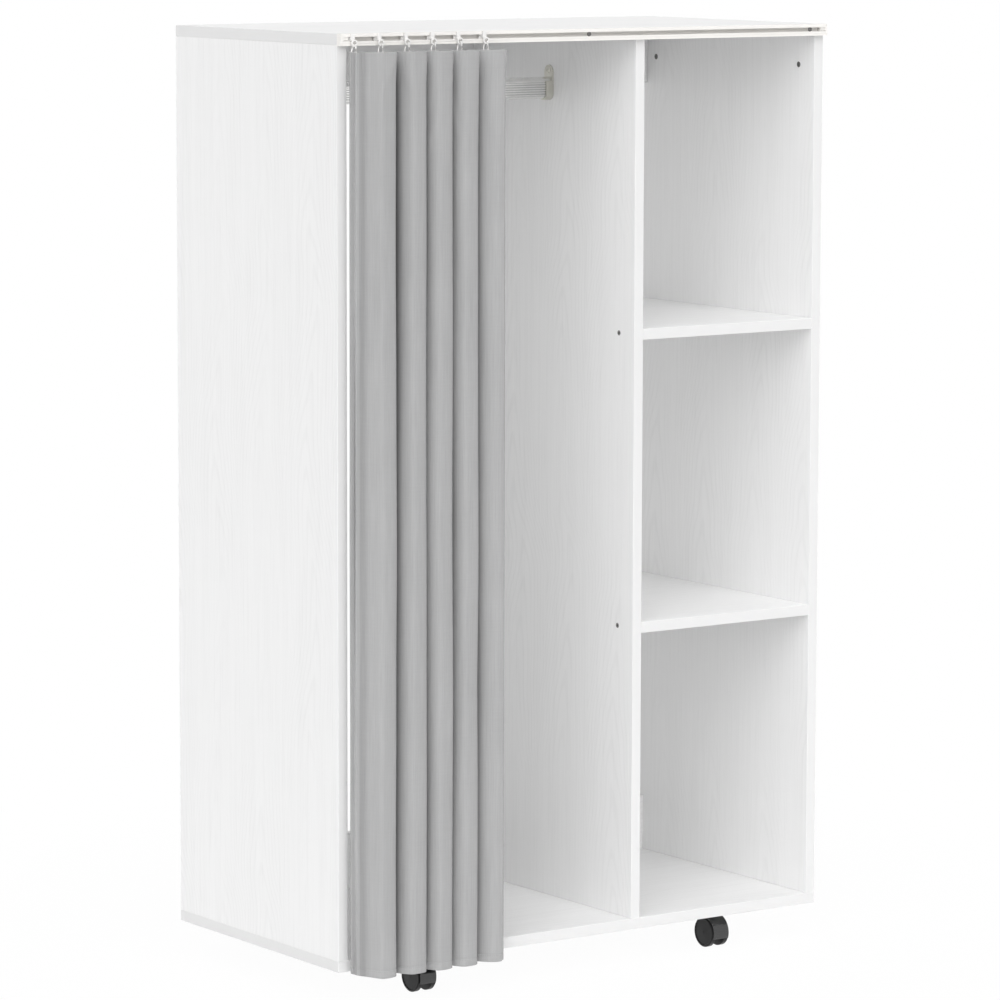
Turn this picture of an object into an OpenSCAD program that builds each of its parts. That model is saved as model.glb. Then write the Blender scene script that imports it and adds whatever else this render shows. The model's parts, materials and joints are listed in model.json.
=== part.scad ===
// Open wardrobe on casters. A hanging space with a rod stands behind a sliding
// curtain on the left, and three open cubbies stand beside it on the right.
// Cabinet frame: x to the right from the left outer face, y to the back from the
// front face, z up from the underside of the bottom panel.

/* [Cabinet] */
// Overall width across the side panels
cabinet_w = 800; // [740:10:1000]
// Overall depth of the boards
cabinet_d = 400; // [360:10:500]
// Height of the boards without the casters
cabinet_h = 1235; // [1150:5:1400]
// Thickness of every board
board_t = 15; // [15:1:18]
// Broken edge along every board
board_arris = 0.5; // [0.3:0.1:1]
// Clear width of the hanging space
hanging_w = 464; // [430:2:500]
// Clear height of the lower cubby
lower_cubby_h = 396; // [320:2:420]
// Clear height of the middle cubby
middle_cubby_h = 387; // [320:1:400]
// Height of the four back stretchers
stretcher_h = 80; // [70:1:110]

/* [Fittings] */
// Diameter of the cam locks
cam_d = 8; // [7:0.5:10]
// Depth of a cam lock in its board
cam_depth = 12; // [11:0.5:13]
// From a board's end to its cam lock
cam_inset = 42; // [30:1:50]
// Diameter of a cam bolt
cam_bolt_d = 4; // [3:0.5:5]
// Length of a cam bolt in the board it pulls against
cam_bolt_grip = 10; // [8:0.5:11]
// From the front and back edges to the first fittings
fitting_edge = 35; // [30:1:60]
// Diameter of the wooden dowels
dowel_d = 8; // [6:0.5:8]
// Depth of a dowel in the face of a board
dowel_face_depth = 7; // [5:0.5:7.5]
// Depth of a dowel in the end of a board
dowel_end_depth = 18; // [14:1:24]
// Height of a stretcher's cam lock above or below its middle
stretcher_cam_offset = 24; // [20:1:26]
// Height of a stretcher's dowel above or below its middle
stretcher_dowel_offset = 8; // [7:0.5:9]
// Diameter of the long board screws
board_screw_d = 5; // [4:0.5:6]
// Head diameter of the long board screws
board_screw_head_d = 7; // [6.5:0.5:9]
// Length of the long board screws
board_screw_len = 48; // [40:1:55]
// Radial gap round pieces that stay put in their holes
fit_gap = 0.05; // [0.03:0.01:0.1]

/* [Hanging rod] */
// Height of the oval rod
rod_h = 30; // [26:1:34]
// Thickness of the oval rod
rod_w = 15; // [12:1:18]
// Wall of the oval rod
rod_wall = 1.2; // [0.8:0.1:2]
// From the top of the cabinet down to the rod's middle
rod_drop = 88; // [80:1:110]
// Number of fine ribs on each flat side of the rod
rod_rib_count = 6; // [3:1:6]
// Spacing of the ribs
rod_rib_pitch = 3.2; // [2.2:0.1:3.3]
// How far a rib stands out
rod_rib_h = 0.5; // [0.2:0.05:0.6]
// Wall of a rod bracket's cup and its back plate
bracket_wall = 1.5; // [1.2:0.1:2]
// How far a bracket's cup reaches over the rod
bracket_cup = 10; // [8:1:14]
// Height of the screw tab above the rod
bracket_tab = 16; // [14:1:20]
// Clearance of the rod in its brackets
rod_clear = 0.4; // [0.35:0.05:0.8]

/* [Curtain track] */
// Height of the track
track_h = 16; // [15:0.5:18]
// How far the track stands out from the front face
track_d = 9; // [8.5:0.5:11]
// Wall of the track
track_wall = 1.4; // [1:0.1:1.6]
// Height of the track's upper lip
track_upper_lip = 4.6; // [4:0.1:5]
// Height of the track's lower lip
track_lower_lip = 5.8; // [5.4:0.1:6.2]
// Length of an end cap inside the track
cap_len = 9; // [7:0.5:11]
// Thickness of an end cap's flange
cap_flange = 2.5; // [2:0.25:4]
// From the left end of the track to its first screw
track_first_screw = 16.4; // [15:0.2:60]
// From the right end of the track to its last screw
track_last_screw = 24.6; // [16:0.2:60]

/* [Gliders and hooks] */
// From the left outer face to the first glider
first_glider = 17; // [16.5:0.5:22]
// Spacing of the gliders with the curtain drawn back
glider_pitch = 41.3; // [38:0.1:46]
// Width of a glider
glider_w = 5.5; // [4.5:0.25:6]
// Outer diameter of a glider's ring
ring_d = 9.4; // [9:0.1:10.5]
// Hole diameter of a glider's ring
ring_hole_d = 5.6; // [5:0.2:6]
// Thickness of a glider's ring
ring_t = 2.2; // [1.6:0.2:2.6]
// Sideways offset of the ring from its glider
ring_shift = 1.5; // [0:0.5:2]
// Wire diameter of a curtain hook
hook_wire_d = 1.8; // [1.4:0.2:2]
// Half of a hook's spread at its foot
hook_spread = 3.6; // [3:0.2:4.5]
// Clearance of the gliders in the track
glider_clear = 0.35; // [0.3:0.05:0.5]

/* [Curtain] */
// Thickness of the curtain
curtain_t = 1.6; // [1.2:0.1:2]
// From the top of the cabinet down to the curtain's top edge
curtain_top_drop = 24; // [23:0.5:26]
// How far the curtain hangs below the underside of the cabinet
curtain_below = 8; // [4:1:12]
// From the left outer face to the curtain's left edge
curtain_left = 11; // [9:0.5:13]
// How much higher the curtain's left corner hangs
corner_lift = 9; // [0:1:12]
// How far the pleats stand out from the front face
pleat_front = 34; // [28:1:40]
// How near the valleys of the pleats come to the front face
pleat_back = 3.5; // [3:0.5:6]
// Height of the gathered heading at the top
heading_h = 14; // [12:1:24]
// Length over which the pleats deepen below the heading
pleat_growth = 30; // [20:2:80]
// From the middle of the wide first pleat to the second glider
first_pleat_lead = 8.4; // [3:0.1:10]
// From a glider to the middle of the pleat beside it
pleat_lead = 0.4; // [0:0.1:5]
// From the back of a pleat to the next glider
pleat_rest = 16.4; // [12:0.1:17]
// How the open side of a pleat comes forward: below 1 it starts steeply
pleat_ease = 0.5; // [0.45:0.05:1]
// How far the hidden side of a pleat tucks under it
pleat_tuck = 12; // [6:0.5:13]

/* [Casters] */
// Height from the floor to the underside of the cabinet
caster_h = 50; // [50:1:60]
// Wheel diameter
wheel_d = 42; // [38:1:44]
// Wheel width
wheel_w = 8; // [7:0.5:9]
// Gap between the two wheels of a caster
wheel_gap = 14; // [13:0.5:16]
// From the swivel axis to the wheel axle
caster_trail = 13; // [11:0.5:14]
// From the side of the cabinet to the swivel axis
caster_side = 153; // [60:1:180]
// From the front or back of the cabinet to the swivel axis
caster_edge = 50; // [50:1:90]
// Side of the square mounting plate
caster_plate_w = 38; // [36:1:44]
// Thickness of the mounting plate
caster_plate_t = 2; // [1.6:0.1:3]
// Diameter of the swivel pin
swivel_pin_d = 8; // [7:0.5:9]
// Diameter of the wheel axle
axle_d = 5; // [4:0.5:6]
// Wall of the hood over the wheels
hood_wall = 1.6; // [1.2:0.1:2]
// Radial gap between the wheels and the hood
hood_clear = 0.7; // [0.5:0.1:1]
// Radial running gap of the pin and the axle
run_gap = 0.08; // [0.05:0.01:0.1]

/* [Small screws] */
// Shank diameter of the small pan head screws
pan_screw_d = 3.5; // [3:0.25:4]
// Head diameter of the small pan head screws
pan_head_d = 6.4; // [6:0.2:7]
// Head height of the small pan head screws
pan_head_h = 1.5; // [1.2:0.1:1.6]
// Length of the small screws in the wood
pan_screw_bite = 11; // [9:0.5:12]

/* [Hidden] */
$fn = 48;
bolt_end = 2.2;              // how far a bolt's end passes the middle of its cam
cam_recess = 0.2;            // how far a cam lies below the face of its board
slot_w = 1.2;                // driver slots
slot_depth = 0.8;
socket_depth = 2;            // hexagon socket of the long screws
screw_neck = 1;              // plain part of a long screw's countersunk head
pan_head_top = 0.8;          // top of a pan head as a share of its diameter
plate_hole_edge = 5;         // from a caster plate's edge to its screws
cut = 1;                     // how far a cut runs past the face that it opens

divider_x = board_t + hanging_w;
cubby_x = divider_x + board_t;
right_x = cabinet_w - board_t;
inner_top = cabinet_h - board_t;
side_h = cabinet_h - 2 * board_t;
lower_shelf_z = board_t + lower_cubby_h;
upper_shelf_z = lower_shelf_z + board_t + middle_cubby_h;
shelf_w = right_x - cubby_x;
fitting_y = [fitting_edge, cabinet_d - fitting_edge];
front_y = (pleat_front - cabinet_d) / 2;   // front face, seen from the part's origin

rod_y = cabinet_d / 2;
rod_z = cabinet_h - rod_drop;
bracket_plate_h = rod_h + bracket_tab + bracket_wall + 2 * rod_clear;
rib_drop = 2;                              // how far the ribs lie below the rod's middle
rod_x0 = board_t + bracket_wall + rod_clear;
rod_x1 = divider_x - bracket_wall - rod_clear;

track_bottom = cabinet_h - track_h;
slot_bottom = track_bottom + track_lower_lip;
slot_top = cabinet_h - track_upper_lip;
slot_mid = (slot_bottom + slot_top) / 2;
track_screws = [track_first_screw, cabinet_w / 2, cabinet_w - track_last_screw];
lip_rib = [1.2, 0.6];                      // thickness and rise of the rib behind the lower lip
lip_line = [1.6, 1.6, 0.5];                // line along the lower lip: place, height, depth
cap_gap = 0.15;                            // clearance of a cap's plug in the track
cap_dot_d = 1.3;                           // moulding marks on a cap's flange
cap_dot_inset = 2;
cap_dot_depth = 1;
cap_grip = [0.8, 3, 1];                    // grip slots: share of the plug's length, depth, height
cap_grip_gap = 3.2;                        // from one grip slot to the other

glider_count = 6;
glider_foot_w = 9;
glider_overlap = 0.5;                      // how far the parts of a glider run into each other
glider_y = track_d + 0.5;                  // back of the glider's outer block
glider_block_t = 2.8;
glider_top_drop = 0.4;                     // from the top of the track to the top of the block
ring_drop = 12.4;                          // from the top of the cabinet to the ring's middle
ring_z = cabinet_h - ring_drop;
block_bottom = ring_z + ring_hole_d / 2 + 0.6;
hook_gap = 0.4;                            // clearance of a hook round its ring
hook_seat = 0.3;                           // the same at the bottom of the ring's hole
hook_lean = 0.8;                           // how far a hook's front wire leans out
hook_rise = 2;                             // how far above the cloth a hook's wires spread
hook_shift = 1;                            // how far the foot of a hook hangs to the right of its ring
cloth_gap = 0.7;                           // clearance behind and in front of a hook's legs
hook_y = track_d + hook_wire_d / 2 + cloth_gap;
bead = 1.1;                                // a hook is a little thicker where it bends
hook_bend_r = bead * hook_wire_d / 2;
ring_y = hook_y + hook_bend_r + hook_gap + ring_t / 2;   // middle of the ring

curtain_top = cabinet_h - curtain_top_drop;
function glider_x(i) = first_glider + (i - 1) * glider_pitch;

caster_x = [caster_side, cabinet_w - caster_side];
wheel_r = wheel_d / 2;
hood_r = wheel_r + hood_clear + hood_wall;
rim_show = 2;                              // how far the wheels' rims show past the hood
hood_half = wheel_gap / 2 + wheel_w - rim_show;
swivel_gap = 0.5;                          // running gap between the hood and the plate
hood_top = caster_h - caster_plate_t - swivel_gap;
hood_from = 40;                            // arc of the hood, from behind the top ...
hood_to = 199;                             // ... round the front to its lower edge
swivel_pin_len = 17;
swivel_wall = 2.5;                         // wall round the swivel pin and the axle
plate_corner = 4;                          // corner radius of the mounting plate
web_gap = 0.5;                             // running gap between the hood's web and a wheel
hub_gap = 0.3;                             // the same at the hood's hub
web_bottom = 4;                            // how far the web reaches below the axle
axle_cover = 2.5;                          // wheel left over the end of the axle
wheel_cap = 2;                             // wheel left over the blind bore
tread_arris = [0.8, 1.2];                  // broken edges of the tread, inside and outside
rim_land = 3;                              // flat ring at the rim of a wheel's face
rim_step = 0.6;                            // slope from that ring down to the face
face_sink = [0.8, 0.2];                    // how far the face lies below the ring, outside and in the middle
hood_arris = 0.7;                          // broken edges of the hood

// From the cabinet frame to the part's origin on the floor
module in_place() translate([-cabinet_w / 2, front_y, caster_h]) children();

// A profile drawn in (y, z), drawn out along x
module along_x(from, to)
    translate([from, 0, 0]) rotate([90, 0, 90]) linear_extrude(to - from) children();

// Children drawn along +Z are laid along the given axis
module aim(at, axis)
    translate(at)
        rotate(axis.x != 0 ? [0, 90 * axis.x, 0] : axis.y != 0 ? [-90 * axis.y, 0, 0]
            : axis.z < 0 ? [180, 0, 0] : [0, 0, 0]) children();

// ---- Boards ----

module board(at, size) {
    a = board_arris;
    translate(at) hull() {
        translate([a, a, 0]) cube([size.x - 2 * a, size.y - 2 * a, size.z]);
        translate([a, 0, a]) cube([size.x - 2 * a, size.y, size.z - 2 * a]);
        translate([0, a, a]) cube([size.x, size.y - 2 * a, size.z - 2 * a]);
    }
}

// Cam fittings: [cam's place on the board's face, axis out of that face, way the bolt points]
upright_cams = [for (side = [[board_t, 1], [cubby_x, 1], [right_x, -1]])
    [for (y = fitting_y) [[side[0], y, inner_top - cam_inset], [side[1], 0, 0], [0, 0, 1]]]];
shelf_cams = [for (z = [lower_shelf_z, upper_shelf_z], y = fitting_y)
    [[right_x - cam_inset, y, z], [0, 0, -1], [1, 0, 0]]];
upper_mid = inner_top - stretcher_h / 2;
lower_mid = board_t + stretcher_h / 2;
function stretcher_cams(x0, x1, mid, side) = [
    [[x0 + cam_inset, cabinet_d, mid + side * stretcher_cam_offset], [0, 1, 0], [-1, 0, 0]],
    [[x1 - cam_inset, cabinet_d, mid + side * stretcher_cam_offset], [0, 1, 0], [1, 0, 0]]];
left_cams = [for (mid = [upper_mid, lower_mid]) each stretcher_cams(board_t, divider_x, mid, 1)];
right_cams = [for (mid = [upper_mid, lower_mid]) each stretcher_cams(cubby_x, right_x, mid, -1)];
all_cams = concat([for (pair = upright_cams) each pair], shelf_cams, left_cams, right_cams);

// Middle of the bolt's hole: half a board below the face that holds the cam
function bolt_line(c) = c[0] - c[1] * board_t / 2;

module cam_hole(c) {
    aim(c[0] - c[1] * (cam_depth + fit_gap), c[1])
        cylinder(d = cam_d + 2 * fit_gap, h = cam_depth + cut);
    aim(bolt_line(c), c[2])
        cylinder(d = cam_bolt_d + 2 * fit_gap, h = cam_inset + cam_bolt_grip + fit_gap);
}

module cam_lock(c)
    difference() {
        cam_h = cam_depth - cam_recess;
        aim(c[0] - c[1] * cam_depth, c[1])
            difference() {
                cylinder(d = cam_d, h = cam_h);
                for (turn = [0, 90])
                    rotate([0, 0, turn]) translate([-cam_d / 3, -slot_w / 2, cam_h - slot_depth])
                        cube([2 * cam_d / 3, slot_w, slot_depth + cut]);
            }
        aim(bolt_line(c) - c[2] * (bolt_end + fit_gap), c[2])
            cylinder(d = cam_bolt_d + 2 * fit_gap, h = cam_d);
    }

module cam_bolt(c)
    aim(bolt_line(c) - c[2] * bolt_end, c[2])
        cylinder(d = cam_bolt_d, h = cam_inset + cam_bolt_grip + bolt_end);

// Dowels: [middle of the joint, way into the board whose end is drilled]
base_dowels = [for (x = [board_t / 2, divider_x + board_t / 2, right_x + board_t / 2])
    [[x, cabinet_d / 2, board_t], [0, 0, 1]]];
top_dowels = [for (x = [board_t / 2, divider_x + board_t / 2, right_x + board_t / 2])
    [[x, cabinet_d / 2, inner_top], [0, 0, -1]]];
shelf_dowels = [for (z = [lower_shelf_z, upper_shelf_z])
    [[right_x, cabinet_d / 2, z + board_t / 2], [-1, 0, 0]]];
function stretcher_dowels(x0, x1, mid, side) = [
    [[x0, cabinet_d - board_t / 2, mid + side * stretcher_dowel_offset], [1, 0, 0]],
    [[x1, cabinet_d - board_t / 2, mid + side * stretcher_dowel_offset], [-1, 0, 0]]];
left_dowels = [for (mid = [upper_mid, lower_mid])
    each stretcher_dowels(board_t, divider_x, mid, -1)];
right_dowels = [for (mid = [upper_mid, lower_mid])
    each stretcher_dowels(cubby_x, right_x, mid, 1)];
all_dowels = concat(base_dowels, top_dowels, shelf_dowels, left_dowels, right_dowels);

module dowel(d, gap = 0)
    aim(d[0] - d[1] * (dowel_face_depth + gap), d[1])
        cylinder(d = dowel_d + 2 * gap, h = dowel_face_depth + dowel_end_depth + 2 * gap);

// Long countersunk screws: [head's place, way in]
base_screw_spots = [for (x = [board_t / 2, divider_x + board_t / 2, right_x + board_t / 2],
    y = fitting_y) [[x, y, 0], [0, 0, 1]]];
shelf_screw_spots = [for (z = [lower_shelf_z, upper_shelf_z], y = fitting_y)
    [[divider_x, y, z + board_t / 2], [1, 0, 0]]];
countersink = (board_screw_head_d - board_screw_d) / 2 + screw_neck;

module board_screw_shape(s, gap = 0)
    aim(s[0], s[1]) {
        cylinder(d = board_screw_d + 2 * gap, h = board_screw_len + gap);
        cylinder(d1 = board_screw_head_d + 2 * gap, d2 = board_screw_d + 2 * gap, h = countersink + gap);
    }

module board_screw(s)
    difference() {
        board_screw_shape(s);
        aim(s[0] - s[1] * cut, s[1])
            cylinder(d = board_screw_head_d / 2, h = cut + socket_depth, $fn = 6);
    }

// Small pan head screws: [face under the head, way in, depth before the wood]
module pan_screw(s)
    aim(s[0], s[1]) {
        cylinder(d = pan_screw_d, h = s[2] + pan_screw_bite);
        translate([0, 0, -pan_head_h])
            difference() {
                cylinder(d1 = pan_head_top * pan_head_d, d2 = pan_head_d, h = pan_head_h);
                for (turn = [0, 90])
                    rotate([0, 0, turn]) translate([-pan_head_d / 4, -slot_w / 2, -cut])
                        cube([pan_head_d / 2, slot_w, cut + slot_depth]);
            }
    }

module pan_screw_hole(s)
    aim(s[0], s[1]) cylinder(d = pan_screw_d + 2 * fit_gap, h = s[2] + pan_screw_bite + fit_gap);

track_screw_spots = [for (x = track_screws) [[x, -track_wall, slot_mid], [0, 1, 0], track_wall]];
function bracket_spots(x, way) = [for (z = [rod_z, rod_z + rod_h / 2 + rod_clear + bracket_tab / 2])
    [[x - way * bracket_wall, rod_y, z], [way, 0, 0], bracket_wall]];
bracket_screw_spots = concat(bracket_spots(board_t, -1), bracket_spots(divider_x, 1));
plate_hole = caster_plate_w / 2 - plate_hole_edge;
caster_screw_spots = [for (x = caster_x, y = [caster_edge, cabinet_d - caster_edge],
    dx = [-plate_hole, plate_hole], dy = [-plate_hole, plate_hole])
    [[x + dx, y + dy, -caster_plate_t], [0, 0, 1], caster_plate_t]];

module top_panel() color("whitesmoke") in_place()
    difference() {
        board([0, 0, inner_top], [cabinet_w, cabinet_d, board_t]);
        for (pair = upright_cams, c = pair) cam_hole(c);
        for (d = top_dowels) dowel(d, fit_gap);
        for (s = track_screw_spots) pan_screw_hole(s);
    }

module bottom_panel() color("whitesmoke") in_place()
    difference() {
        board([0, 0, 0], [cabinet_w, cabinet_d, board_t]);
        for (s = base_screw_spots) board_screw_shape(s, fit_gap);
        for (d = base_dowels) dowel(d, fit_gap);
        for (s = caster_screw_spots) pan_screw_hole(s);
    }

// An upright board with the holes that all three have
module upright(x, cams)
    difference() {
        board([x, 0, board_t], [board_t, cabinet_d, side_h]);
        for (c = cams) cam_hole(c);
        for (s = base_screw_spots) board_screw_shape(s, fit_gap);
        for (d = concat(base_dowels, top_dowels)) dowel(d, fit_gap);
    }

module left_side_panel() color("white") in_place()
    difference() {
        upright(0, upright_cams[0]);
        for (c = left_cams) cam_hole(c);
        for (d = left_dowels) dowel(d, fit_gap);
        for (s = bracket_spots(board_t, -1)) pan_screw_hole(s);
    }

module divider_panel() color("white") in_place()
    difference() {
        upright(divider_x, upright_cams[1]);
        for (c = concat(left_cams, right_cams)) cam_hole(c);
        for (d = concat(left_dowels, right_dowels)) dowel(d, fit_gap);
        for (s = shelf_screw_spots) board_screw_shape(s, fit_gap);
        for (s = bracket_spots(divider_x, 1)) pan_screw_hole(s);
    }

module right_side_panel() color("white") in_place()
    difference() {
        upright(right_x, upright_cams[2]);
        for (c = concat(right_cams, shelf_cams)) cam_hole(c);
        for (d = concat(right_dowels, shelf_dowels)) dowel(d, fit_gap);
    }

module shelf(z) color("whitesmoke") in_place()
    difference() {
        board([cubby_x, 0, z], [shelf_w, cabinet_d, board_t]);
        for (c = shelf_cams) cam_hole(c);
        for (d = shelf_dowels) dowel(d, fit_gap);
        for (s = shelf_screw_spots) board_screw_shape(s, fit_gap);
    }

module stretcher(x0, x1, mid, side) color("gainsboro") in_place()
    difference() {
        board([x0, cabinet_d - board_t, mid - stretcher_h / 2], [x1 - x0, board_t, stretcher_h]);
        for (c = stretcher_cams(x0, x1, mid, side)) cam_hole(c);
        for (d = stretcher_dowels(x0, x1, mid, -side)) dowel(d, fit_gap);
    }

module cam_locks() color("dimgray") in_place() for (c = all_cams) cam_lock(c);
module cam_bolts() color("silver") in_place() for (c = all_cams) cam_bolt(c);
module dowels() color("burlywood") in_place() for (d = all_dowels) dowel(d);
module base_screws() color("dimgray") in_place() for (s = base_screw_spots) board_screw(s);
module shelf_screws() color("dimgray") in_place() for (s = shelf_screw_spots) board_screw(s);

// ---- Hanging rod ----

// An oval with straight sides, drawn in (y, z) round its middle
module oval(w, h) {
    square([w, h - w], center = true);
    for (end = [-1, 1]) translate([0, end * (h - w) / 2]) circle(d = w);
}

// Section of the rod, grown outwards
module rod_ring(grow)
    difference() {
        oval(rod_w + 2 * grow, rod_h + 2 * grow);
        oval(rod_w - 2 * rod_wall, rod_h - 2 * rod_wall);
    }

module hanging_rod() color("silver") in_place()
    along_x(rod_x0, rod_x1)
        translate([rod_y, rod_z]) {
            rod_ring(0);
            for (i = [0 : rod_rib_count - 1])
                intersection() {
                    rod_ring(rod_rib_h);
                    translate([0, (i - (rod_rib_count - 1) / 2) * rod_rib_pitch - rib_drop])
                        square([2 * rod_w, rod_rib_pitch / 2], center = true);
                }
        }

// Cup outline: the rod's own oval, open above so that the rod lifts out
module cup_outline() {
    inner_w = rod_w + 2 * (rod_rib_h + rod_clear);
    inner_h = rod_h + 2 * rod_clear;
    difference() {
        oval(inner_w + 2 * bracket_wall, inner_h + 2 * bracket_wall);
        oval(inner_w, inner_h);
        translate([-rod_w, rod_h / 3]) square([2 * rod_w, rod_h]);
    }
}

module bracket_plate_outline() {
    w = rod_w + 2 * (rod_rib_h + rod_clear + bracket_wall);
    h = bracket_plate_h;
    translate([0, (h - rod_h) / 2 - bracket_wall - rod_clear]) oval(w, h);
}

// way is 1 for the bracket on the divider and -1 for the one on the side panel
module rod_bracket(x, way) color("ivory") in_place()
    difference() {
        union() {
            along_x(min(x, x - way * bracket_wall), max(x, x - way * bracket_wall))
                translate([rod_y, rod_z]) bracket_plate_outline();
            along_x(min(x, x - way * (bracket_wall + bracket_cup)),
                    max(x, x - way * (bracket_wall + bracket_cup)))
                translate([rod_y, rod_z]) cup_outline();
        }
        for (s = bracket_spots(x, way)) pan_screw_hole(s);
    }

module bracket_screws() color("lightgray") in_place()
    for (s = bracket_screw_spots) pan_screw(s);

// ---- Curtain track ----

module track_outline() {
    translate([-track_wall, track_bottom]) square([track_wall, track_h]);
    translate([-track_d, track_bottom]) square([track_d, track_wall]);
    translate([-track_d, cabinet_h - track_wall]) square([track_d, track_wall]);
    translate([-track_d, slot_top]) square([track_wall, track_upper_lip]);
    difference() {
        translate([-track_d, track_bottom]) square([track_wall, track_lower_lip]);
        translate([-track_d - cut, track_bottom + lip_line[0]]) square([cut + lip_line[2], lip_line[1]]);
    }
    translate([-track_d + track_wall, track_bottom]) square([lip_rib[0], track_wall + lip_rib[1]]);
}

module curtain_track() color("ivory") in_place()
    difference() {
        along_x(cap_flange, cabinet_w - cap_flange) track_outline();
        for (s = track_screw_spots) pan_screw_hole(s);
    }

// The cap's plug fills the channel and comes through the slot, flush with the lips
module track_cap(x, way) color("ivory") in_place() {
    difference() {
        along_x(min(x, x + way * cap_flange), max(x, x + way * cap_flange))
            translate([-track_d, track_bottom]) square([track_d, track_h]);
        for (z = [track_bottom + cap_dot_inset, cabinet_h - cap_dot_inset])
            translate([x + way * cap_flange / 2, -track_d - cut, z])
                rotate([-90, 0, 0]) cylinder(d = cap_dot_d, h = cut + cap_dot_depth);
    }
    difference() {
        plug_x = x + way * (cap_flange + cap_len);
        plug_front = track_wall + lip_rib[0] + cap_gap;
        along_x(min(x + way * cap_flange, plug_x), max(x + way * cap_flange, plug_x)) {
            translate([-track_d + plug_front, track_bottom + track_wall + cap_gap])
                square([track_d - plug_front - track_wall - cap_gap, track_h - 2 * (track_wall + cap_gap)]);
            translate([-track_d, slot_bottom + cap_gap])
                square([track_d - track_wall - cap_gap, slot_top - slot_bottom - 2 * cap_gap]);
        }
        for (side = [-1, 1])
            translate([x + way * (cap_flange + cap_len / 2), -track_d, slot_mid + side * cap_grip_gap / 2])
                cube([cap_grip[0] * cap_len, cap_grip[1], cap_grip[2]], center = true);
    }
}

module track_screws_node() color("gray") in_place()
    for (s = track_screw_spots) pan_screw(s);

// ---- Gliders and hooks ----

module glider(i) color("white") in_place()
    translate([glider_x(i), 0, 0]) {
        c = glider_clear;
        lap = glider_overlap;
        foot_back = track_wall + pan_head_h + c;
        foot_front = track_d - track_wall - lip_rib[0] - c;
        foot_bottom = track_bottom + track_wall + lip_rib[1] + c;
        // Foot inside the channel
        translate([-glider_foot_w / 2, -foot_front, foot_bottom])
            cube([glider_foot_w, foot_front - foot_back, cabinet_h - track_wall - c - foot_bottom]);
        // Neck through the slot
        translate([-glider_w / 2, -glider_y - lap, slot_bottom + c])
            cube([glider_w, glider_y + 2 * lap - foot_front, slot_top - slot_bottom - 2 * c]);
        // Block in front of the lips
        translate([-glider_w / 2, -glider_y - glider_block_t, block_bottom])
            cube([glider_w, glider_block_t, cabinet_h - glider_top_drop - block_bottom]);
        // Ring
        translate([ring_shift, -ring_y + ring_t / 2, ring_z])
            rotate([90, 0, 0])
                difference() {
                    cylinder(d = ring_d, h = ring_t);
                    translate([0, 0, -cut]) cylinder(d = ring_hole_d, h = ring_t + 2 * cut);
                }
    }

module wire(from, to, d) {
    run = to - from;
    len = norm(run);
    translate(from)
        rotate([0, acos(run.z / len), atan2(run.y, run.x)]) cylinder(d = d, h = len, $fn = 24);
    translate(to) sphere(r = hook_bend_r, $fn = 24);
}

module hook(i) color("white") in_place()
    translate([glider_x(i) + ring_shift, 0, 0]) {
        top = ring_z - ring_hole_d / 2 + hook_bend_r + hook_seat;
        front = ring_y + ring_t / 2 + hook_bend_r + hook_gap;
        under = ring_z - ring_d / 2 - hook_bend_r - hook_gap;
        foot = curtain_top - heading_h / 2;
        bend = curtain_top + hook_rise;
        left_leg = hook_shift - hook_spread;
        right_leg = hook_shift + hook_spread;
        translate([0, -hook_y, top]) sphere(r = hook_bend_r, $fn = 24);
        wire([0, -hook_y, top], [0, -front, top], hook_wire_d);
        wire([0, -front, top], [hook_lean, -front, under], hook_wire_d);
        wire([hook_lean, -front, under], [right_leg, -hook_y, bend], hook_wire_d);
        wire([right_leg, -hook_y, bend], [right_leg, -hook_y, foot], hook_wire_d);
        wire([0, -hook_y, top], [left_leg, -hook_y, bend], hook_wire_d);
        wire([left_leg, -hook_y, bend], [left_leg, -hook_y, foot], hook_wire_d);
    }

// ---- Curtain ----

// Middle of the cloth where it turns: [x, share of the depth, tuck and ease of the next side]
last_hook = glider_x(glider_count) + ring_shift;
side_hem_turns = [[0, 0.35], [4, 0.55], [13, 0.12]];      // from the curtain's left edge
end_turns = [[13, 1], [21, 0.75]];                        // from the last hook to the right edge
fold_turns = concat(
    [for (t = side_hem_turns) [curtain_left + t[0], t[1], 0, 1]],
    [[glider_x(2) - first_pleat_lead, 1, pleat_tuck, 1],
     [glider_x(3) - pleat_rest, 0, 0, pleat_ease]],
    [for (i = [3 : glider_count - 1])
        each [[glider_x(i) + pleat_lead, 1, pleat_tuck, 1],
              [glider_x(i + 1) - pleat_rest, 0, 0, pleat_ease]]],
    [for (t = end_turns) [last_hook + t[0], t[1], 0, 1]]);
side_steps = 8;
corner_run = 45;                           // width of the lifted corner

// Depth of the valleys and the peaks in front of the front face at height z
function deepening(z) = let (s = (curtain_top - heading_h - z) / pleat_growth)
    s < 0 ? 0 : s > 1 ? 1 : s;
peak_y = pleat_front - curtain_t / 2;
valley_y = pleat_back + curtain_t / 2;
heading_valley = hook_y + hook_wire_d / 2 + cloth_gap + curtain_t / 2;
function fold_depth(share, z) = let (
    near = heading_valley + (valley_y - heading_valley) * deepening(z))
    near + (peak_y - near) * share;

function cloth_point(k, s, z) = let (a = fold_turns[k], b = fold_turns[k + 1])
    [a[0] + (b[0] - a[0]) * s + a[2] * sin(360 * s),
     -fold_depth(a[1] + (b[1] - a[1]) * (1 - cos(180 * pow(s, a[3]))) / 2, z)];
function cloth_line(z) = [for (k = [0 : len(fold_turns) - 2], j = [0 : side_steps - 1])
    cloth_point(k, j / side_steps, z), cloth_point(len(fold_turns) - 2, 1, z)];
function across(line, i) = let (
    a = line[max(i - 1, 0)], b = line[min(i + 1, len(line) - 1)], d = b - a)
    [-d.y, d.x] / norm(d);

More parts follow.
